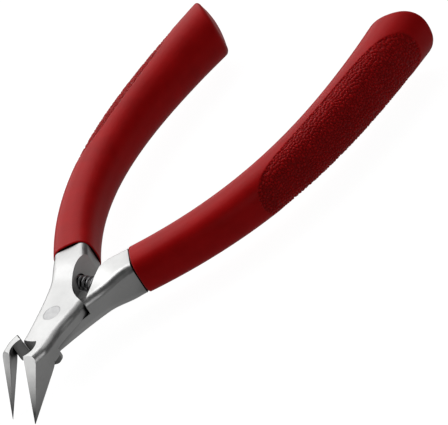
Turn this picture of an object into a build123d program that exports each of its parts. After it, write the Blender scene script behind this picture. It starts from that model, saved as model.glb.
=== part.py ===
"""Sprue nippers with angled tips: two forged halves on a lap joint, a rivet, a return spring and two grips.

Frame: millimetres. The origin is on the pivot axis, in the plane of the flat upper face of the joint.
+Z is the pivot axis and points out of that face, +Y points from the jaws to the handles,
and +X points to the right handle. The nippers are modelled open, as the spring holds them.
The two halves cross at the joint: the half with the right arm carries the left jaw.
"""
import os
from math import cos, radians, sin

from build123d import *

# Joint
JOINT_THICKNESS = 7.3
MID = -JOINT_THICKNESS / 2          # height of the lap plane, where the halves slide on each other
LAP_GAP = 0.05                      # each lap face stands this far back from the lap plane
LAP_RADIUS = 9.4                    # reach of each lap in front of the pivot
SHOULDER_RADIUS = 9.75              # the shoulder in front of the pivot, which the other lap swings past
# The shoulder behind the pivot, in plan
SHOULDER = [(8.9, 1.5), (7.7, 3.4), (6.85, 6.2), (5.9, 8.8), (4.8, 12.0), (4.3, 15.5), (2.5, 19.0)]
EDGE_RADIUS = 1.9                   # rounding of the long edges, above and below

# Jaws, given for the right jaw
HALF_OPENING = 10.15                # degrees between a cutting edge and the middle when open
TIP = (4.03, -22.5, MID - 10.3)
TIP_FLAT = 0.2
EDGE_START = (2.52, -14.15, MID + 3.55)
FRONT_CORNER = (6.6, -13.5, MID + 3.0)
BACK_CORNER = (6.6, -12.0, MID - 2.84)
LAND_CORNER = (3.05, -17.05, MID - 1.75)
JAW_ROOT = (6.75, -11.3)            # widest point of the jaw
JAW_BACK = -9.7                     # Y where the jaw's own side shape starts
HEEL_DEPTH = 2.4                    # underside of the jaw at its heel, below the lap plane
BEVEL_END_RADIUS = 12.2             # where the bevel behind the cutting edge ends
HEEL_RADIUS = 10.3                  # where it ends lower down, under the root of the jaw
ROOT_BOTTOM = MID - 1.4             # height below which it runs on to there
THROAT_CENTRE = (0.25, -11.5)       # round opening between the jaws and the laps
THROAT_RADIUS = 3.45

# Sides of the right-armed half in plan, from the joint to the mouth of the grip
OUTER_SIDE = [(4.6, -2.9), (6.8, 3.2), (9.5, 9.1), (12.0, 13.3)]
LAP_SIDE = [(-6.5, 7.0), (-6.4, 0.5), (-6.3, -6.5)]
ARM_WIDTH = 9.2                     # at the mouth of the grip
ARM_HEIGHT = 9.4
SWELL_Y = (9.0, 16.3)               # where the arm's height grows from the joint's to the full one

# Handle centreline in plan: a Bezier curve from the mouth of the grip to its end
HANDLE = [(11.0, 19.7), (31.5, 41.3), (36.4, 62.9), (36.0, 84.4), (34.5, 106.0)]
GRIP_WIDTHS = (10.6, 10.9, 13.9)    # control values of a quadratic along the handle
GRIP_HEIGHTS = (10.8, 12.2, 15.5)
GRIP_CORNERS = (0.4, 0.42, 0.46)    # corner radius over width, likewise
GRIP_STATIONS = 11
GRIP_RUN_ON = 8.0                   # how far the grip's blank runs on past the end of the centreline
RIGHT_GRIP_END = 1.0                # how far past it the middle of each end face lies
LEFT_GRIP_END = 2.5
GRIP_END_SLANT = 0.55               # rise of the end face per unit outwards: the outer side is the longer one
GRIP_END_ROUND = 1.5
GRIP_RIM_ROUND = 0.5

# Tangs, inside the grips
TANG_ROOT = 1.0                     # how far each tang reaches back into its arm
TANG_STATIONS = [0, 0.2, 0.4, 0.62, 0.84]
TANG_WIDTHS = (8.6, 6.0)
TANG_HEIGHTS = (8.8, 6.5)
TANG_CORNER = 1.8

# Rivet
RIVET_RADIUS = 2.33
RIVET_CLEARANCE = 0.03
RIVET_HEAD_RADIUS = 3.3
RIVET_HEAD_HEIGHT = 1.3
RIVET_HEAD_CLEARANCE = 0.05
RIVET_CHAMFER = 0.08

# Return spring, across the gap behind the joint
SPRING_Y = 13.3
SPRING_RADIUS = 1.75                # to the middle of the wire
SPRING_WIRE = 0.6
SPRING_LENGTH = 13.2
SPRING_TURNS = 8.5
SEAT_RADIUS = 2.35
SEAT_REACH = 7.1                    # how far from the middle the blind seats go
POCKET_CENTRE = (-9.5, 19.0)
POCKET_RADIUS = 14.3

REACH = 30                          # longer than the joint, for the solids that cut it


def across(point):
    """The same point on the other side of the middle plane."""
    return (-point[0],) + tuple(point[1:])


def polar(radius, angle):
    """Point in plan at an angle in degrees from +X."""
    return (radius * cos(radians(angle)), radius * sin(radians(angle)))


def plane_through(first, second, third):
    """Plane through three points, its normal by the right-hand rule."""
    a, b, c = Vector(*first), Vector(*second), Vector(*third)
    return Plane(origin=a, x_dir=b - a, z_dir=(b - a).cross(c - a))


def quadratic(values, t):
    """Value of a quadratic Bezier polynomial at t."""
    a, b, c = values
    return a * (1 - t) ** 2 + 2 * b * t * (1 - t) + c * t ** 2


def handle_line():
    """Centreline of the right handle, from the mouth of the grip to its end."""
    return Bezier(*[(x, y, MID) for x, y in HANDLE])


def handle_plane(t):
    """Plane square to the handle at t: its X runs outwards and its Y runs up."""
    line = handle_line()
    tangent = line % t
    return Plane(origin=line @ t, x_dir=(tangent.Y, -tangent.X, 0), z_dir=-tangent)


def half_outline(height):
    """Plan of the right-armed half at a height: jaw on the left, arm on the right up to the grip's mouth."""
    mouth_outer = handle_plane(0).from_local_coords((ARM_WIDTH / 2, 0, 0))
    mouth_inner = handle_plane(0).from_local_coords((-ARM_WIDTH / 2, 0, 0))
    lap_left = polar(LAP_RADIUS, -90 - HALF_OPENING)
    lap_front = polar(LAP_RADIUS, -86)
    lap_right = polar(LAP_RADIUS, -73)
    tip = across(TIP)[:2]
    tip_outer = (tip[0] - TIP_FLAT, tip[1])
    root = across(JAW_ROOT)
    jaw_side = (tip_outer[0] - root[0], tip_outer[1] - root[1])
    along_handle = handle_line() % 0
    with BuildSketch(Plane.XY.offset(height)) as outline:
        with BuildLine():
            Line(tip, lap_left)
            ThreePointArc(lap_left, lap_front, lap_right)
            Spline(
                lap_right, *OUTER_SIDE, (mouth_outer.X, mouth_outer.Y),
                tangents=[(0.25, 1), (along_handle.X, along_handle.Y)],
            )
            Line((mouth_outer.X, mouth_outer.Y), (mouth_inner.X, mouth_inner.Y))
            Line((mouth_inner.X, mouth_inner.Y), LAP_SIDE[0])
            Spline(*LAP_SIDE, root, tangents=[(0.1, -1), jaw_side])
            Line(root, tip_outer)
            Line(tip_outer, tip)
        make_face()
    return outline.sketch


def runs_along(edge):
    """True for the edges along the sides of the half, not for those across it or on its cutting edge."""
    middle = edge @ 0.5
    radius = (middle.X ** 2 + middle.Y ** 2) ** 0.5
    goes_across = abs((edge % 0.5).X) > 0.71
    on_lap_front = abs(radius - LAP_RADIUS) < 0.2 and middle.Y < -8
    on_cutting_edge = middle.Y < -10 and middle.X > -4.5
    return edge.length > 1 and not (goes_across or on_lap_front or on_cutting_edge)


def swell_line(start_height, swell):
    """Side view of one face of the joint and arm: flat at the joint, then swelling towards the grip."""
    start, end = SWELL_Y
    Line((-REACH, start_height), (start, start_height))
    Spline((start, start_height), (end, start_height + swell), tangents=[(1, 0), (1, 0)])
    Line((end, start_height + swell), (REACH, start_height + swell))


def rounded_blank():
    """The right-armed half with its jaw's front face, its upper face and the rounding along that."""
    front = plane_through(across(EDGE_START), across(FRONT_CORNER), across(TIP))
    swell = (ARM_HEIGHT - JOINT_THICKNESS) / 2
    with BuildPart() as rounded:
        extrude(half_outline(-REACH), amount=2 * REACH)
        with BuildSketch(Plane.YZ.offset(-REACH)) as side:
            with BuildLine():
                swell_line(0, swell)
                Polyline((REACH, swell), (REACH, -REACH), (-REACH, -REACH), (-REACH, 0))
            make_face()
        extrude(side.sketch, amount=2 * REACH, mode=Mode.INTERSECT)
        split(bisect_by=front, keep=Keep.BOTTOM)
        upper_edges = rounded.edges().filter_by(lambda e: (e @ 0.5).Z > -0.01 and runs_along(e))
        fillet(upper_edges, EDGE_RADIUS)
    return rounded.part


def joint_and_arm():
    """The right-armed half behind its jaw, with the rounding along its underside."""
    swell = (ARM_HEIGHT - JOINT_THICKNESS) / 2
    with BuildPart() as body:
        add(rounded_blank())
        with BuildSketch(Plane.YZ.offset(-REACH)) as side:
            with BuildLine():
                swell_line(-JOINT_THICKNESS, -swell)
                Line((REACH, -JOINT_THICKNESS - swell), (REACH, REACH))
                Polyline((REACH, REACH), (-REACH, REACH), (-REACH, -JOINT_THICKNESS))
            make_face()
        extrude(side.sketch, amount=2 * REACH, mode=Mode.INTERSECT)
        split(bisect_by=Plane.XZ.offset(-JAW_BACK), keep=Keep.BOTTOM)
        under = 0.01 - JOINT_THICKNESS
        fillet(body.edges().filter_by(lambda e: (e @ 0.5).Z < under and runs_along(e)), EDGE_RADIUS)
    return body.part


def jaw_side_outline():
    """The jaw from the side: it bends down and forward from the joint to its tip."""
    heel = MID - HEEL_DEPTH
    with BuildSketch(Plane.YZ.offset(-REACH)) as outline:
        with BuildLine():
            Polyline(
                (JAW_BACK, 1),
                (TIP[1] - 1, 1),
                (TIP[1] - 1, TIP[2]),
                (TIP[1], TIP[2]),
                (BACK_CORNER[1], BACK_CORNER[2]),
                (JAW_BACK - 1.2, heel),
                (JAW_BACK - 0.4, heel - 0.4),
                (JAW_BACK, -JOINT_THICKNESS + 0.3),
                close=True,
            )
        make_face()
    return outline.sketch


def jaw_hollow():
    """Space behind the cutting edge of the left jaw: a flat bevel, then the round throat up to the laps."""
    bevel = plane_through(across(BACK_CORNER), across(TIP), across(LAND_CORNER))
    with BuildPart() as hollow:
        with BuildSketch(Plane.XY.offset(-REACH)):
            Rectangle(REACH, REACH, align=(Align.MAX, Align.MAX))
        extrude(amount=2 * REACH)
        split(bisect_by=bevel, keep=Keep.BOTTOM)
        Cylinder(HEEL_RADIUS, 3 * REACH, mode=Mode.SUBTRACT)
        with Locations((0, 0, ROOT_BOTTOM)):
            Cylinder(
                BEVEL_END_RADIUS, REACH, align=(Align.CENTER, Align.CENTER, Align.MIN), mode=Mode.SUBTRACT
            )
        with BuildSketch(Plane.XY.offset(-REACH)):
            with Locations(across(THROAT_CENTRE)):
                Circle(THROAT_RADIUS)
            Circle(LAP_RADIUS, mode=Mode.SUBTRACT)
        extrude(amount=2 * REACH)
    return hollow.part


def jaw():
    """The left jaw in front of the joint, before the space behind its edge is ground out."""
    with BuildPart() as block:
        add(rounded_blank())
        extrude(jaw_side_outline(), amount=2 * REACH, mode=Mode.INTERSECT)
    return block.part


def tang():
    """Tapering tang that runs on from the arm inside the grip."""
    with BuildPart() as taper:
        with BuildSketch(handle_plane(0).offset(TANG_ROOT)):
            RectangleRounded(TANG_WIDTHS[0], TANG_HEIGHTS[0], TANG_CORNER)
        for t in TANG_STATIONS:
            share = t / TANG_STATIONS[-1]
            with BuildSketch(handle_plane(t)):
                RectangleRounded(
                    TANG_WIDTHS[0] + (TANG_WIDTHS[1] - TANG_WIDTHS[0]) * share,
                    TANG_HEIGHTS[0] + (TANG_HEIGHTS[1] - TANG_HEIGHTS[0]) * share,
                    TANG_CORNER,
                )
        loft()
    return taper.part


def half_blank():
    """The right-armed half before its lap is cut, with its spring pocket and seat."""
    with BuildPart() as blank:
        add(joint_and_arm())
        add(jaw())
        add(jaw_hollow(), mode=Mode.SUBTRACT)
        add(tang())
        with Locations((*POCKET_CENTRE, MID)):
            Cylinder(POCKET_RADIUS, REACH, mode=Mode.SUBTRACT)
        with BuildSketch(Plane.YZ):
            with Locations((SPRING_Y, MID)):
                Circle(SEAT_RADIUS)
        extrude(amount=SEAT_REACH, mode=Mode.SUBTRACT)
    return blank.part


def lap_space(lower, upper):
    """Space that the other half's lap fills and swings in, between two heights, in the right-armed half."""
    with BuildPart() as space:
        with BuildSketch(Plane.XY.offset(lower)):
            Circle(SHOULDER_RADIUS)
            with Locations(SHOULDER[0]):
                Rectangle(4 * REACH, REACH, align=(Align.CENTER, Align.MAX), mode=Mode.INTERSECT)
            with BuildLine():
                Spline(*SHOULDER)
                Polyline(SHOULDER[-1], (-REACH, SHOULDER[-1][1]), (-REACH, SHOULDER[0][1]), SHOULDER[0])
            make_face()
        extrude(amount=upper - lower)
    return space.part


def grip_section(t, plane):
    """Section of the right grip at t of the handle, drawn on a plane."""
    width = quadratic(GRIP_WIDTHS, t)
    with BuildSketch(plane) as section:
        RectangleRounded(width, quadratic(GRIP_HEIGHTS, t), quadratic(GRIP_CORNERS, t) * width)
    return section.sketch


def grip(end):
    """Soft sleeve over the right tang: it widens towards a slanted end, given past the centreline's end."""
    last = handle_plane(1)
    end_face = Plane(origin=last.offset(-end).origin, z_dir=-last.z_dir - last.x_dir * GRIP_END_SLANT)
    with BuildPart() as body:
        for i in range(GRIP_STATIONS):
            t = i / (GRIP_STATIONS - 1)
            add(grip_section(t, handle_plane(t)))
        add(grip_section(1, last.offset(-GRIP_RUN_ON)))
        loft()
        split(bisect_by=end_face, keep=Keep.BOTTOM)
        ends = body.faces().filter_by(GeomType.PLANE).sort_by(Axis.Y)
        fillet(ends[0].edges(), GRIP_RIM_ROUND)
        fillet(ends[-1].edges(), GRIP_END_ROUND)
        add(tang(), mode=Mode.SUBTRACT)
    return body.part


def save(piece, name):
    """Label a finished piece and write its STEP file."""
    piece.part.label = name
    export_step(piece.part, f"parts/{name}.step")
    print(f"{name}: {len(piece.part.solids())} solid, {piece.part.volume:.1f} mm3")


os.makedirs("parts", exist_ok=True)
blank = half_blank()

# Lower half: right arm and left jaw. Its lap lies under the other one and turns on the rivet.
with BuildPart() as lower_half:
    add(blank)
    add(lap_space(MID - LAP_GAP, REACH), mode=Mode.SUBTRACT)
    with Locations(Plane.XY.rotated((180, 0, 0)).offset(JOINT_THICKNESS)):
        CounterBoreHole(
            RIVET_RADIUS + RIVET_CLEARANCE,
            RIVET_HEAD_RADIUS + RIVET_HEAD_CLEARANCE,
            RIVET_HEAD_HEIGHT + RIVET_HEAD_CLEARANCE,
            JOINT_THICKNESS,
        )
save(lower_half, "lower_half")

# Upper half: left arm and right jaw. The rivet is pressed into its lap.
with BuildPart() as upper_half:
    mirror(blank, about=Plane.YZ)
    mirror(lap_space(-REACH, MID + LAP_GAP), about=Plane.YZ, mode=Mode.SUBTRACT)
    Hole(RIVET_RADIUS)
save(upper_half, "upper_half")

# Rivet: a plain shank, flush with the upper face, with a sunk head underneath
with BuildPart() as pivot_rivet:
    with BuildSketch(Plane.XY.offset(-JOINT_THICKNESS)):
        Circle(RIVET_RADIUS)
    extrude(amount=JOINT_THICKNESS)
    with BuildSketch(Plane.XY.offset(-JOINT_THICKNESS)):
        Circle(RIVET_HEAD_RADIUS)
    extrude(amount=RIVET_HEAD_HEIGHT)
    ends = pivot_rivet.faces().filter_by(Plane.XY).sort_by(Axis.Z)
    chamfer(ends[0].edges() + ends[-1].edges(), RIVET_CHAMFER)
save(pivot_rivet, "pivot_rivet")

# Return spring: an open coil between the two blind seats
with BuildPart() as return_spring:
    with BuildLine():
        coil = Helix(
            pitch=SPRING_LENGTH / SPRING_TURNS,
            height=SPRING_LENGTH,
            radius=SPRING_RADIUS,
            center=(-SPRING_LENGTH / 2, SPRING_Y, MID),
            direction=(1, 0, 0),
        )
    with BuildSketch(Plane(origin=coil @ 0, z_dir=coil % 0)):
        Circle(SPRING_WIRE / 2)
    sweep(is_frenet=True)
save(return_spring, "return_spring")

# Grips: soft sleeves over the tangs, mirror images but for their lengths
with BuildPart() as right_grip:
    add(grip(RIGHT_GRIP_END))
save(right_grip, "right_grip")

with BuildPart() as left_grip:
    mirror(grip(LEFT_GRIP_END), about=Plane.YZ)
save(left_grip, "left_grip")
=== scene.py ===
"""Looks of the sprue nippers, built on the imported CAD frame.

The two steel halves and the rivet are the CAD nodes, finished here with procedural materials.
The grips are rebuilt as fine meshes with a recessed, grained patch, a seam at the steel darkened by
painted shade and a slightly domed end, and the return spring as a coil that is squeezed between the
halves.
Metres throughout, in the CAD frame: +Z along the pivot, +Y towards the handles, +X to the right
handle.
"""
from math import comb, cos, pi, radians, sin

import bpy
import numpy as np
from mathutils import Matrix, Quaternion, Vector

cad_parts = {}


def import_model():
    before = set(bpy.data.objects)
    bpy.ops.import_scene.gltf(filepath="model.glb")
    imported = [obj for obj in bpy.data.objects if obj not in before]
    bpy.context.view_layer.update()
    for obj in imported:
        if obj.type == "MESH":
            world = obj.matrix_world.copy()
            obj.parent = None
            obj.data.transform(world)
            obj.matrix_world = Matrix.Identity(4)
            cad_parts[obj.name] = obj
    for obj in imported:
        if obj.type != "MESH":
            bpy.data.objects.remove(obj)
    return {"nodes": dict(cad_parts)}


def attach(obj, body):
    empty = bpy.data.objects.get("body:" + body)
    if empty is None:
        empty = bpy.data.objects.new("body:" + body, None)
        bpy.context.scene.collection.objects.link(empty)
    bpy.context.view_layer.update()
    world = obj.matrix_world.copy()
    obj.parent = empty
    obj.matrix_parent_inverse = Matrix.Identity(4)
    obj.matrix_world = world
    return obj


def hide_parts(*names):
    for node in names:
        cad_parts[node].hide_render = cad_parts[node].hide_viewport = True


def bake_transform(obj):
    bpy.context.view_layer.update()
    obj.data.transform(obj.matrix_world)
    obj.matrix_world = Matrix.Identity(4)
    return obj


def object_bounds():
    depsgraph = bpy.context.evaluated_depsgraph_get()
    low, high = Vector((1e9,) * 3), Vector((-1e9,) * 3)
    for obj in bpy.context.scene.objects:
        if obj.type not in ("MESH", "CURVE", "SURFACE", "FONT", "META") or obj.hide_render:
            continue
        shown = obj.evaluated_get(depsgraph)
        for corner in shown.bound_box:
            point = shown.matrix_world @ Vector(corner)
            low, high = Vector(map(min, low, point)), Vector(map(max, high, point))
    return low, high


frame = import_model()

cad_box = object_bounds()

# Camera, at the photo's viewing angle
CAMERA_AZIMUTH = 56.637             # degrees
CAMERA_ELEVATION = 31.042
CAMERA_ROLL = -31.996
CAMERA_DISTANCE = 0.58759
CAMERA_AIM = (0.02523, 0.03988, -0.00225)
CAMERA_LENS = 198.9                 # mm on the default 36 mm sensor

# Handle: centreline in plan of the right one, and the section of its grip
MID = -0.00365                      # height of the lap plane
HANDLE = np.array([(11.0, 19.7), (31.5, 41.3), (36.4, 62.9), (36.0, 84.4), (34.5, 106.0)]) / 1000
GRIP_WIDTHS = (0.0106, 0.0109, 0.0138)
GRIP_HEIGHTS = (0.0108, 0.0122, 0.0154)
GRIP_ROUNDNESS = (2.9, 2.6, 2.35)   # exponent of the superellipse; 2 is an ellipse
RIGHT_GRIP_END = 0.0006             # how far past the centreline the middle of each end face lies
LEFT_GRIP_END = 0.0021
GRIP_END_SLANT = 0.55               # rise of the end face per unit outwards
GRIP_END_ROUND = 0.0015
GRIP_RIM_ROUND = 0.0004
SLANT_RUN = 0.012                   # stretch over which the rings tilt to the slant of the end
END_DOME = 0.0011                   # bulge of the end face in its middle
MOUTH_WIDTH, MOUTH_HEIGHT, MOUTH_CORNER = 0.0089, 0.0091, 0.0019   # just inside the steel arm
SEAM = 0.0004                       # width of the seam between the steel arm and the grip's rim; its darkness is painted shade

# Mesh of a grip, from its mouth to its end
MOUTH_RINGS = 2                     # rings at the bottom of the seam
ROUND_RINGS = 8                     # rings round its rim, and round its end, counting one of the rest
GRIP_ALONG = 560                    # rings of the rest
END_RINGS = 14                      # rings that draw its end in towards the middle
LAST_RING = 0.002                   # size of the last of them over the end's, which stays open
GRIP_AROUND = 256                   # points of a ring
OVERSAMPLING = 8                    # points of a ring's outline before it is evened out, over those after
LINE_STEPS = 2000                   # samples of the centreline, to measure its length

# Grained patch on the outer flank of each grip
PATCH_CENTRE = 0.061                # along the handle from the grip's mouth
PATCH_HALF_LENGTH = 0.029
PATCH_HALF_TURN = radians(90)       # round the section, from straight outwards
PATCH_SHAPE = 2.6
PATCH_DEPTH = 0.00036
BORDER_SHARE = 0.02                 # width of the patch's step over its half-length
GRAIN_HEIGHT = 0.00030
GRAIN_CELL = (0.00068, 0.00092)     # along and round the handle
GRAIN_TABLE = 64                    # cells each way before the grain repeats
GRAIN_STEEPNESS = 1.9               # of the sides of a pebble, where they rise from its creases

# Painted shade on the grips, a mesh attribute: in the seam and in the creases between the pebbles
PAINTED_SHADE = "painted_shade"
SEAM_RINGS = 4                      # rings with full painted shade, at and beside the bottom of the seam
CREASE_SHADE = 0.42                 # painted shade in the creases between the pebbles

# Painted shade on the front faces of the jaws, darker towards the tips: full at the first height and gone
# at the second
TIP_Z = -0.0118
TIP_SHADE_Z = -0.0030
FRONT_FACING = (-0.7, -0.45)        # Y of the normal where a face counts as front, and where it doesn't
CREVICE_REACH = 0.007               # how far out the steel looks for the other side of a crevice, for the painted crevice shade

# Return spring
SPRING_Y = 0.0133
SPRING_RADIUS = 0.00175             # to the middle of the wire
SPRING_WIRE = 0.0006
SPRING_HALF_LENGTH = 0.0066
SPRING_TURNS = 8.5
SPRING_CLOSING = 0.12               # how much closer than evenly the coils lie at the ends
SPRING_STEPS = 40                   # points per turn
WIRE_SIDES = 14

# Studio
FLOOR_HALF = 4.0
BACKDROP_RADIUS = 5.0
BACKDROP_RINGS, BACKDROP_SIDES = 24, 48
SKY = [(0.0, 0.26), (0.05, 0.22), (0.28, 0.05), (1.0, 0.045)]  # brightness from low to high
SKY_REACH = 0.5                     # height, on the unit sphere, where the first and the last hold
LIGHTS = [                          # name, azimuth, elevation, distance, size and power
    ("key_softbox", 244, 36, 1.2, 1.6, 9.4),
    ("top_softbox", 280, 62, 1.1, 0.7, 2.0),
    ("front_softbox", 318, 14, 1.2, 1.2, 5.0),
    ("back_fill", 165, 50, 1.2, 1.0, 1.5),
    ("low_fill", 80, 12, 1.3, 0.8, 1.6),
]


# ---------------------------------------------------------------- shapes

def handle_frame(t):
    """Centreline points and outward directions in plan of the right handle, for an array of t."""
    order = len(HANDLE) - 1
    basis = np.array([comb(order, i) * t ** i * (1 - t) ** (order - i) for i in range(order + 1)]).T
    slope_basis = np.array(
        [comb(order - 1, i) * t ** i * (1 - t) ** (order - 1 - i) for i in range(order)]
    ).T
    tangent = slope_basis @ np.diff(HANDLE, axis=0)
    tangent /= np.linalg.norm(tangent, axis=1)[:, None]
    outwards = np.stack([tangent[:, 1], -tangent[:, 0]], axis=1)
    return basis @ HANDLE, outwards


def quadratic(values, t):
    """Value of a quadratic Bezier polynomial at t."""
    a, b, c = values
    return a * (1 - t) ** 2 + 2 * b * t * (1 - t) + c * t ** 2


def even_ring(ring, count):
    """A closed ring resampled to evenly spaced points, from its first point on."""
    closed = np.vstack([ring, ring[:1]])
    lengths = np.linalg.norm(np.diff(closed, axis=0), axis=1)
    run = np.concatenate([[0], np.cumsum(lengths)])
    at = np.linspace(0, run[-1], count, endpoint=False)
    return np.stack([np.interp(at, run, closed[:, k]) for k in range(2)], axis=1)


def superellipse(width, height, exponent, count):
    """Ring of a superellipse, starting straight outwards."""
    turn = np.linspace(0, 2 * pi, OVERSAMPLING * count, endpoint=False)
    power = 2 / exponent
    ring = np.stack([
        width / 2 * np.sign(np.cos(turn)) * np.abs(np.cos(turn)) ** power,
        height / 2 * np.sign(np.sin(turn)) * np.abs(np.sin(turn)) ** power,
    ], axis=1)
    return even_ring(ring, count)


def rounded_rectangle(width, height, corner, count):
    """Ring of a rectangle with rounded corners, starting straight outwards."""
    turn = np.linspace(0, 2 * pi, OVERSAMPLING * count, endpoint=False)
    direction = np.stack([np.cos(turn), np.sin(turn)], axis=1)
    inner = np.array([width / 2 - corner, height / 2 - corner])
    ring = np.sign(direction) * inner + corner * direction
    return even_ring(ring, count)


def smooth_step(value):
    """0 below 0, 1 above 1, smooth between."""
    value = np.clip(value, 0, 1)
    return value * value * (3 - 2 * value)


def grain(along, around, cell, seed):
    """Pebbled height between 0 and 1: high inside each cell, low in the creases between cells."""
    table = np.random.default_rng(seed).random((GRAIN_TABLE, GRAIN_TABLE, 2))
    x, y = along / cell[0], around / cell[1]
    column, row = np.floor(x).astype(int), np.floor(y).astype(int)
    nearest = np.full(x.shape, np.inf)
    second = np.full(x.shape, np.inf)
    for i in (-1, 0, 1):
        for j in (-1, 0, 1):
            jitter = table[(column + i) % GRAIN_TABLE, (row + j) % GRAIN_TABLE]
            distance = np.hypot(column + i + jitter[..., 0] - x, row + j + jitter[..., 1] - y)
            second = np.minimum(second, np.maximum(nearest, distance))
            nearest = np.minimum(nearest, distance)
    return smooth_step((second - nearest) * GRAIN_STEEPNESS)


def mesh_object(name, points, faces):
    """A smooth-shaded mesh object."""
    mesh = bpy.data.meshes.new(name)
    mesh.from_pydata([tuple(p) for p in points], [], faces)
    mesh.update()
    made = bpy.data.objects.new(name, mesh)
    bpy.context.scene.collection.objects.link(made)
    mesh.polygons.foreach_set("use_smooth", [True] * len(mesh.polygons))
    return made


def tube_faces(rings, sides):
    """Quads between successive rings of the same number of points."""
    faces = []
    for i in range(rings - 1):
        for j in range(sides):
            k = (j + 1) % sides
            faces.append((i * sides + j, i * sides + k, (i + 1) * sides + k, (i + 1) * sides + j))
    return faces


def patch_depth(along, turn):
    """How far inside the grained patch a point lies: 0 on its border and 1 in its middle."""
    reach = (
        np.abs((along - PATCH_CENTRE) / PATCH_HALF_LENGTH) ** PATCH_SHAPE
        + np.abs(turn / PATCH_HALF_TURN) ** PATCH_SHAPE
    )
    return 1 - reach ** (1 / PATCH_SHAPE)


def run_on_frame(place, run, t):
    """Centres, outward directions and tangents at places along the handle, straight on past its end."""
    centre, outwards = handle_frame(np.interp(place, run, t))
    tangent = np.stack([-outwards[:, 1], outwards[:, 0]], axis=1)
    past = np.maximum(place - run[-1], 0)
    return centre + tangent * past[:, None], outwards, tangent


def grip(name, side, end, seed):
    """A soft sleeve on one handle. side is 1 for the right one and -1 for the left one."""
    t = np.linspace(0, 1, LINE_STEPS)
    centres, _ = handle_frame(t)
    run = np.concatenate([[0], np.cumsum(np.linalg.norm(np.diff(centres, axis=0), axis=1))])
    length = run[-1] + end

    # Each ring: place along the handle, and how far it is drawn in from the full section
    turns = np.linspace(0, pi / 2, ROUND_RINGS)
    rim = [(SEAM + GRIP_RIM_ROUND * (1 - cos(a)), GRIP_RIM_ROUND * (1 - sin(a))) for a in turns[:-1]]
    body = [(s, 0.0) for s in np.linspace(SEAM + GRIP_RIM_ROUND, length - GRIP_END_ROUND, GRIP_ALONG)]
    far = [(length - GRIP_END_ROUND * (1 - sin(a)), GRIP_END_ROUND * (1 - cos(a))) for a in turns[1:]]
    place, drawn_in = np.array(rim + body + far).T

    share = np.interp(place, run, t)
    sections = np.array([
        superellipse(quadratic(GRIP_WIDTHS, u) - 2 * d, quadratic(GRIP_HEIGHTS, u) - 2 * d,
                     quadratic(GRIP_ROUNDNESS, u), GRIP_AROUND)
        for u, d in zip(share, drawn_in)
    ])
    tilt = GRIP_END_SLANT * smooth_step((place - length + SLANT_RUN + GRIP_END_ROUND) / SLANT_RUN)
    slide = tilt[:, None] * sections[..., 0]
    turn = np.arctan2(sections[..., 1], sections[..., 0])
    radius = np.linalg.norm(sections, axis=2)
    along = place[:, None] + slide
    around = turn * radius.mean()

    depth = patch_depth(along, turn)
    border = smooth_step(depth / BORDER_SHARE)
    pebbles = grain(along, around, GRAIN_CELL, seed)
    relief = border * (pebbles * GRAIN_HEIGHT - PATCH_DEPTH)
    # Painted shade in the creases between the pebbles
    creases = border * (1 - pebbles) * CREASE_SHADE
    sections *= (1 + relief / radius)[..., None]

    # The mouth: the rim turns in to the bottom of the seam, which runs on to the end of the steel arm.
    # No wall closes it there.
    mouth = rounded_rectangle(MOUTH_WIDTH, MOUTH_HEIGHT, MOUTH_CORNER, GRIP_AROUND)
    sections = np.concatenate([[mouth] * MOUTH_RINGS, sections])
    place = np.concatenate([[0, SEAM], place])
    slide = np.concatenate([np.zeros((MOUTH_RINGS, GRIP_AROUND)), slide])

    # Draw the far end in with rings that shrink towards its middle and bulge out
    shares = np.linspace(1, LAST_RING, END_RINGS + 1)[1:]
    sections = np.concatenate([sections, sections[-1] * shares[:, None, None]])
    place = np.concatenate([place, place[-1] + END_DOME * (1 - shares ** 2)])
    slide = np.concatenate([slide, slide[-1] * shares[:, None]])

    centre, outwards, tangent = run_on_frame(place, run, t)
    plan = (centre[:, None] + outwards[:, None] * sections[..., :1] + tangent[:, None] * slide[..., None])
    points = np.concatenate([plan, MID + sections[..., 1:]], axis=2)
    points[..., 0] *= side
    faces = tube_faces(len(points), GRIP_AROUND)
    if side > 0:
        faces = [f[::-1] for f in faces]
    made = mesh_object(name, points.reshape(-1, 3), faces)
    # Painted shade kept on the mesh: full at the bottom of the seam, and part in the creases of the grain
    painted_shade = np.zeros(points.shape[:2])
    painted_shade[MOUTH_RINGS:-END_RINGS] = creases
    painted_shade[:SEAM_RINGS] = 1
    made.data.attributes.new(PAINTED_SHADE, "FLOAT", "POINT").data.foreach_set("value", painted_shade.ravel())
    return made


def spring_point(turns):
    """Centre of the wire after a number of turns: the coils close up at both ends."""
    share = turns / SPRING_TURNS
    x = -cos(pi * share) * SPRING_CLOSING + (2 * share - 1) * (1 - SPRING_CLOSING)
    angle = 2 * pi * turns
    reach = SPRING_HALF_LENGTH - SPRING_WIRE / 2
    return Vector((
        x * reach,
        SPRING_Y + SPRING_RADIUS * cos(angle),
        MID + SPRING_RADIUS * sin(angle),
    ))


def return_spring():
    """The coil between the blind seats of the two halves, with closed ends."""
    steps = int(SPRING_TURNS * SPRING_STEPS)
    line = [spring_point(i / SPRING_STEPS) for i in range(steps + 1)]
    points = []
    for i, centre in enumerate(line):
        tangent = (line[min(i + 1, steps)] - line[max(i - 1, 0)]).normalized()
        axis_point = Vector((centre.x, SPRING_Y, MID))
        out = (centre - axis_point).normalized()
        out = (out - tangent * out.dot(tangent)).normalized()
        across = tangent.cross(out)
        for j in range(WIRE_SIDES):
            a = 2 * pi * j / WIRE_SIDES
            points.append(centre + (out * cos(a) + across * sin(a)) * SPRING_WIRE / 2)
    faces = tube_faces(len(line), WIRE_SIDES)
    faces.append(tuple(range(WIRE_SIDES - 1, -1, -1)))
    first = steps * WIRE_SIDES
    faces.append(tuple(range(first, first + WIRE_SIDES)))
    return mesh_object("coil_spring", points, faces)


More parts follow.
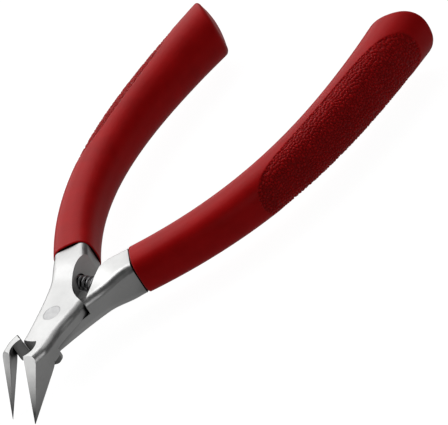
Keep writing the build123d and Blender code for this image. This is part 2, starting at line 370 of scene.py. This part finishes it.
# ---------------------------------------------------------------- materials

def set_stops(node, stops):
    """Fill a colour ramp node: stops are (place, colour)."""
    elements = node.color_ramp.elements
    while len(elements) < len(stops):
        elements.new(0.5)
    for element, (place, colour) in zip(elements, stops):
        element.position = place
        element.color = (*colour, 1)


class Shader:
    """A material's node tree, with short calls for the nodes used here."""

    def __init__(self, name):
        self.material = bpy.data.materials.new(name)
        self.material.use_nodes = True
        self.tree = self.material.node_tree
        self.bsdf = self.tree.nodes["Principled BSDF"]
        coordinates = self.tree.nodes.new("ShaderNodeTexCoord")
        self.place = coordinates.outputs["Object"]
        self.normal = coordinates.outputs["Normal"]

    def link(self, source, target):
        """Join an output to an input."""
        self.tree.links.new(source, target)

    def stretched(self, scale, turn=0):
        """The object's coordinates scaled by different amounts along each axis, after a turn about Z."""
        mapping = self.tree.nodes.new("ShaderNodeMapping")
        mapping.inputs["Scale"].default_value = scale
        mapping.inputs["Rotation"].default_value = (0, 0, turn)
        self.link(self.place, mapping.inputs["Vector"])
        return mapping.outputs["Vector"]

    def noise(self, scale, detail=3, roughness=0.55, vector=None):
        """Noise, features per metre times the stretch."""
        node = self.tree.nodes.new("ShaderNodeTexNoise")
        node.inputs["Scale"].default_value = scale
        node.inputs["Detail"].default_value = detail
        node.inputs["Roughness"].default_value = roughness
        self.link(vector or self.place, node.inputs["Vector"])
        return node.outputs["Fac"]

    def cells(self, scale, vector=None):
        """Distance to the nearest of scattered points."""
        node = self.tree.nodes.new("ShaderNodeTexVoronoi")
        node.inputs["Scale"].default_value = scale
        self.link(vector or self.place, node.inputs["Vector"])
        return node.outputs["Distance"]

    def part_of(self, vector, axis):
        """One coordinate of a vector."""
        node = self.tree.nodes.new("ShaderNodeSeparateXYZ")
        self.link(vector, node.inputs["Vector"])
        return node.outputs[axis]

    def product(self, first, second):
        """Two patterns multiplied."""
        node = self.tree.nodes.new("ShaderNodeMath")
        node.operation = "MULTIPLY"
        self.link(first, node.inputs[0])
        self.link(second, node.inputs[1])
        return node.outputs["Value"]

    def openness(self, reach):
        """How open the surroundings of each point are, looking a short way out: 0 deep in a crevice."""
        node = self.tree.nodes.new("ShaderNodeAmbientOcclusion")
        node.samples = 8
        node.inputs["Distance"].default_value = reach
        return node.outputs["AO"]

    def attribute(self, name):
        """A mesh attribute."""
        node = self.tree.nodes.new("ShaderNodeAttribute")
        node.attribute_name = name
        return node.outputs["Fac"]

    def ramp(self, source, stops):
        """A pattern turned into colours: stops are (place, colour)."""
        node = self.tree.nodes.new("ShaderNodeValToRGB")
        set_stops(node, stops)
        self.link(source, node.inputs["Fac"])
        return node.outputs["Color"]

    def spread(self, source, low, high, start=0.3, end=0.7):
        """Rescale a 0 to 1 pattern to a range."""
        node = self.tree.nodes.new("ShaderNodeMapRange")
        for socket, value in (("From Min", start), ("From Max", end), ("To Min", low), ("To Max", high)):
            node.inputs[socket].default_value = value
        self.link(source, node.inputs["Value"])
        return node.outputs["Result"]

    def mix(self, share, first, second):
        """Blend two colours by a pattern."""
        node = self.tree.nodes.new("ShaderNodeMix")
        node.data_type = "RGBA"
        self.link(share, node.inputs["Factor"])
        a, b = [socket for socket in node.inputs if socket.type == "RGBA"]
        self.link(first, a)
        self.link(second, b)
        return next(socket for socket in node.outputs if socket.type == "RGBA")

    def bump(self, source, distance, strength=1.0, below=None):
        """Bump, stacked on the one below."""
        node = self.tree.nodes.new("ShaderNodeBump")
        node.inputs["Distance"].default_value = distance
        node.inputs["Strength"].default_value = strength
        self.link(source, node.inputs["Height"])
        if below:
            self.link(below, node.inputs["Normal"])
        return node.outputs["Normal"]


def forged_steel():
    """Satin ground steel: grinding marks along the tool, cloudy tone, painted shade on the jaw fronts
    towards the tips and painted shade in crevices.
    """
    shader = Shader("forged_steel")
    bsdf = shader.bsdf
    bsdf.inputs["Metallic"].default_value = 1.0
    marks = shader.noise(1.0, 3, 0.6, shader.stretched((6500, 500, 6500)))
    mottle = shader.noise(700, 4)
    cloud = shader.noise(85, 2)
    tone = shader.ramp(mottle, [(0.3, (0.66, 0.66, 0.655)), (0.7, (0.75, 0.75, 0.745))])
    shaded = shader.ramp(cloud, [(0.35, (0.56, 0.56, 0.555)), (0.65, (0.76, 0.76, 0.755))])
    # Painted shade on the front faces of the jaws near the tips: dark is its colour and shade its mask
    dark = shader.ramp(mottle, [(0.3, (0.03, 0.03, 0.03)), (0.7, (0.07, 0.07, 0.07))])
    near_tip = shader.spread(shader.part_of(shader.place, "Z"), 1, 0, TIP_Z, TIP_SHADE_Z)
    faces_front = shader.spread(shader.part_of(shader.normal, "Y"), 1, 0, *FRONT_FACING)
    shade = shader.product(near_tip, faces_front)
    steel = shader.mix(shade, shader.mix(marks, tone, shaded), dark)
    # Painted shade in crevices, gaps between the parts and hollows: darker where nearby surfaces hem the
    # steel in
    crevice_shade_colour = shader.ramp(mottle, [(0.3, (0.015, 0.015, 0.015)), (0.7, (0.035, 0.034, 0.033))])
    deep = shader.spread(shader.openness(CREVICE_REACH), 1, 0, 0.25, 0.95)
    shader.link(shader.mix(deep, steel, crevice_shade_colour), bsdf.inputs["Base Color"])
    shader.link(shader.spread(mottle, 0.30, 0.42), bsdf.inputs["Roughness"])
    fine = shader.bump(marks, 0.000006, 0.5)
    shader.link(shader.bump(mottle, 0.00001, 0.4, fine), bsdf.inputs["Normal"])
    return shader.material


def rivet_steel():
    """Ground rivet: slightly darker than the halves, with circular marks from the facing cut."""
    shader = Shader("rivet_steel")
    bsdf = shader.bsdf
    bsdf.inputs["Metallic"].default_value = 1.0
    rings = shader.tree.nodes.new("ShaderNodeTexWave")
    rings.wave_type = "RINGS"
    rings.rings_direction = "Z"
    rings.inputs["Scale"].default_value = 1600
    rings.inputs["Distortion"].default_value = 1.5
    shader.link(shader.place, rings.inputs["Vector"])
    mottle = shader.noise(700, 3)
    tone = shader.ramp(mottle, [(0.3, (0.47, 0.47, 0.475)), (0.7, (0.60, 0.60, 0.60))])
    shader.link(tone, bsdf.inputs["Base Color"])
    shader.link(shader.spread(mottle, 0.3, 0.42), bsdf.inputs["Roughness"])
    shader.link(shader.bump(rings.outputs["Fac"], 0.000006, 0.5), bsdf.inputs["Normal"])
    return shader.material


def spring_steel():
    """Dark drawn wire with drawing lines and patchy sheen."""
    shader = Shader("spring_steel")
    bsdf = shader.bsdf
    bsdf.inputs["Metallic"].default_value = 1.0
    patchy = shader.noise(900, 3)
    tone = shader.ramp(patchy, [(0.3, (0.22, 0.22, 0.225)), (0.7, (0.40, 0.40, 0.41))])
    shader.link(tone, bsdf.inputs["Base Color"])
    shader.link(shader.spread(patchy, 0.25, 0.45), bsdf.inputs["Roughness"])
    shader.link(shader.bump(shader.noise(5200, 2), 0.00001, 0.6), bsdf.inputs["Normal"])
    return shader.material


def red_sleeve():
    """Satin red soft plastic: slight tone changes, a fine moulded skin, uneven gloss, and painted shade
    in the seam and in the creases.
    """
    shader = Shader("red_sleeve")
    bsdf = shader.bsdf
    bsdf.inputs["Specular IOR Level"].default_value = 0.16
    bsdf.inputs["Specular Tint"].default_value = (1, 0.45, 0.45, 1)
    bsdf.inputs["Sheen Weight"].default_value = 0.9
    bsdf.inputs["Sheen Roughness"].default_value = 0.25
    bsdf.inputs["Sheen Tint"].default_value = (1, 0.42, 0.42, 1)
    cloud = shader.noise(140, 3)
    speck = shader.noise(2600, 2)
    tone = shader.ramp(cloud, [(0.3, (0.50, 0.0045, 0.0055)), (0.7, (0.61, 0.0064, 0.0076))])
    # Colour of the painted shade in the seam and in the creases
    seam_and_crease_shade_colour = shader.ramp(speck, [(0.3, (0.004, 0.001, 0.001)), (0.7, (0.012, 0.003, 0.003))])
    shader.link(shader.mix(shader.attribute(PAINTED_SHADE), tone, seam_and_crease_shade_colour), bsdf.inputs["Base Color"])
    shader.link(shader.spread(cloud, 0.36, 0.44), bsdf.inputs["Roughness"])
    skin = shader.bump(speck, 0.00001, 0.5)
    shader.link(shader.bump(shader.cells(1500), 0.000015, 0.4, skin), bsdf.inputs["Normal"])
    return shader.material


def paint(piece, material):
    """Give a piece one material."""
    piece.data.materials.clear()
    piece.data.materials.append(material)


# ---------------------------------------------------------------- studio

def pale(name, colour, glow):
    """Plain pale material of the floor and backdrop."""
    material = bpy.data.materials.new(name)
    material.use_nodes = True
    bsdf = material.node_tree.nodes["Principled BSDF"]
    bsdf.inputs["Base Color"].default_value = (*colour, 1)
    bsdf.inputs["Roughness"].default_value = 0.9
    bsdf.inputs["Specular IOR Level"].default_value = 0.0
    bsdf.inputs["Emission Color"].default_value = (1, 1, 1, 1)
    bsdf.inputs["Emission Strength"].default_value = glow
    return material


def floor(height):
    """Large plain floor under the lowest point of the object."""
    half = FLOOR_HALF
    corners = [(-half, -half, height), (half, -half, height), (half, half, height), (-half, half, height)]
    ground = mesh_object("floor", corners, [(0, 1, 2, 3)])
    ground.data.materials.append(pale("floor_pale", (0.15, 0.15, 0.15), 0.96))
    ground.visible_glossy = False
    ground.visible_diffuse = False


def area_light(name, azimuth, elevation, distance, size, power):
    """A square softbox that faces the middle of the object from a direction."""
    a, e = radians(azimuth), radians(elevation)
    towards = Vector((sin(a) * cos(e), -cos(a) * cos(e), sin(e)))
    lamp = bpy.data.lights.new(name, "AREA")
    lamp.size = size
    lamp.energy = power
    made = bpy.data.objects.new(name, lamp)
    bpy.context.scene.collection.objects.link(made)
    made.location = Vector(CAMERA_AIM) + towards * distance
    made.rotation_mode = "QUATERNION"
    made.rotation_quaternion = (-towards).to_track_quat("-Z", "Y")


def world():
    """Plain soft surroundings: dim, and brighter well below the horizon."""
    studio = bpy.data.worlds.new("studio")
    bpy.context.scene.world = studio
    studio.use_nodes = True
    tree = studio.node_tree
    coordinates = tree.nodes.new("ShaderNodeTexCoord")
    axes = tree.nodes.new("ShaderNodeSeparateXYZ")
    height = tree.nodes.new("ShaderNodeMapRange")
    height.inputs["From Min"].default_value = -SKY_REACH
    height.inputs["From Max"].default_value = SKY_REACH
    ramp = tree.nodes.new("ShaderNodeValToRGB")
    set_stops(ramp, [(place, (level, level, level)) for place, level in SKY])
    tree.links.new(coordinates.outputs["Generated"], axes.inputs["Vector"])
    tree.links.new(axes.outputs["Z"], height.inputs["Value"])
    tree.links.new(height.outputs["Result"], ramp.inputs["Fac"])
    tree.links.new(ramp.outputs["Color"], tree.nodes["Background"].inputs["Color"])


def backdrop():
    """Pale dome behind everything, seen by the camera only."""
    rings, sides, radius = BACKDROP_RINGS, BACKDROP_SIDES, BACKDROP_RADIUS
    points = [
        (radius * sin(pi * i / rings) * cos(2 * pi * j / sides),
         radius * sin(pi * i / rings) * sin(2 * pi * j / sides),
         radius * cos(pi * i / rings))
        for i in range(rings + 1) for j in range(sides)
    ]
    dome = mesh_object("backdrop", points, tube_faces(rings + 1, sides))
    dome.data.materials.append(pale("backdrop_pale", (0.0, 0.0, 0.0), 0.97))
    for ray in ("visible_diffuse", "visible_glossy", "visible_transmission", "visible_shadow"):
        setattr(dome, ray, False)


def camera():
    """The camera at the photo's angle, roll and distance."""
    a, e = radians(CAMERA_AZIMUTH), radians(CAMERA_ELEVATION)
    back = Vector((sin(a) * cos(e), -cos(a) * cos(e), sin(e)))
    eye = bpy.data.objects.new("camera", bpy.data.cameras.new("camera"))
    bpy.context.scene.collection.objects.link(eye)
    eye.data.lens = CAMERA_LENS
    eye.data.clip_start = 0.01
    eye.location = Vector(CAMERA_AIM) + back * CAMERA_DISTANCE
    eye.rotation_mode = "QUATERNION"
    upright = (-back).to_track_quat("-Z", "Y")
    eye.rotation_quaternion = upright @ Quaternion((0, 0, 1), radians(CAMERA_ROLL))
    bpy.context.scene.camera = eye


# ---------------------------------------------------------------- assembly

steel = forged_steel()
for node in ("upper_half", "lower_half"):
    paint(frame["nodes"][node], steel)
paint(frame["nodes"]["pivot_rivet"], rivet_steel())

sleeve = red_sleeve()
for name, node, body, side, end, seed in (
    ("right_sleeve", "right_grip", "lower", 1, RIGHT_GRIP_END, 11),
    ("left_sleeve", "left_grip", "upper", -1, LEFT_GRIP_END, 12),
):
    piece = grip(name, side, end, seed)
    paint(piece, sleeve)
    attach(piece, body)
    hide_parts(node)

coil = return_spring()
paint(coil, spring_steel())
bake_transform(coil)
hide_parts("return_spring")

world()
backdrop()
floor(cad_box[0].z)
for light in LIGHTS:
    area_light(*light)
camera()
bpy.context.scene.view_settings.view_transform = "Standard"
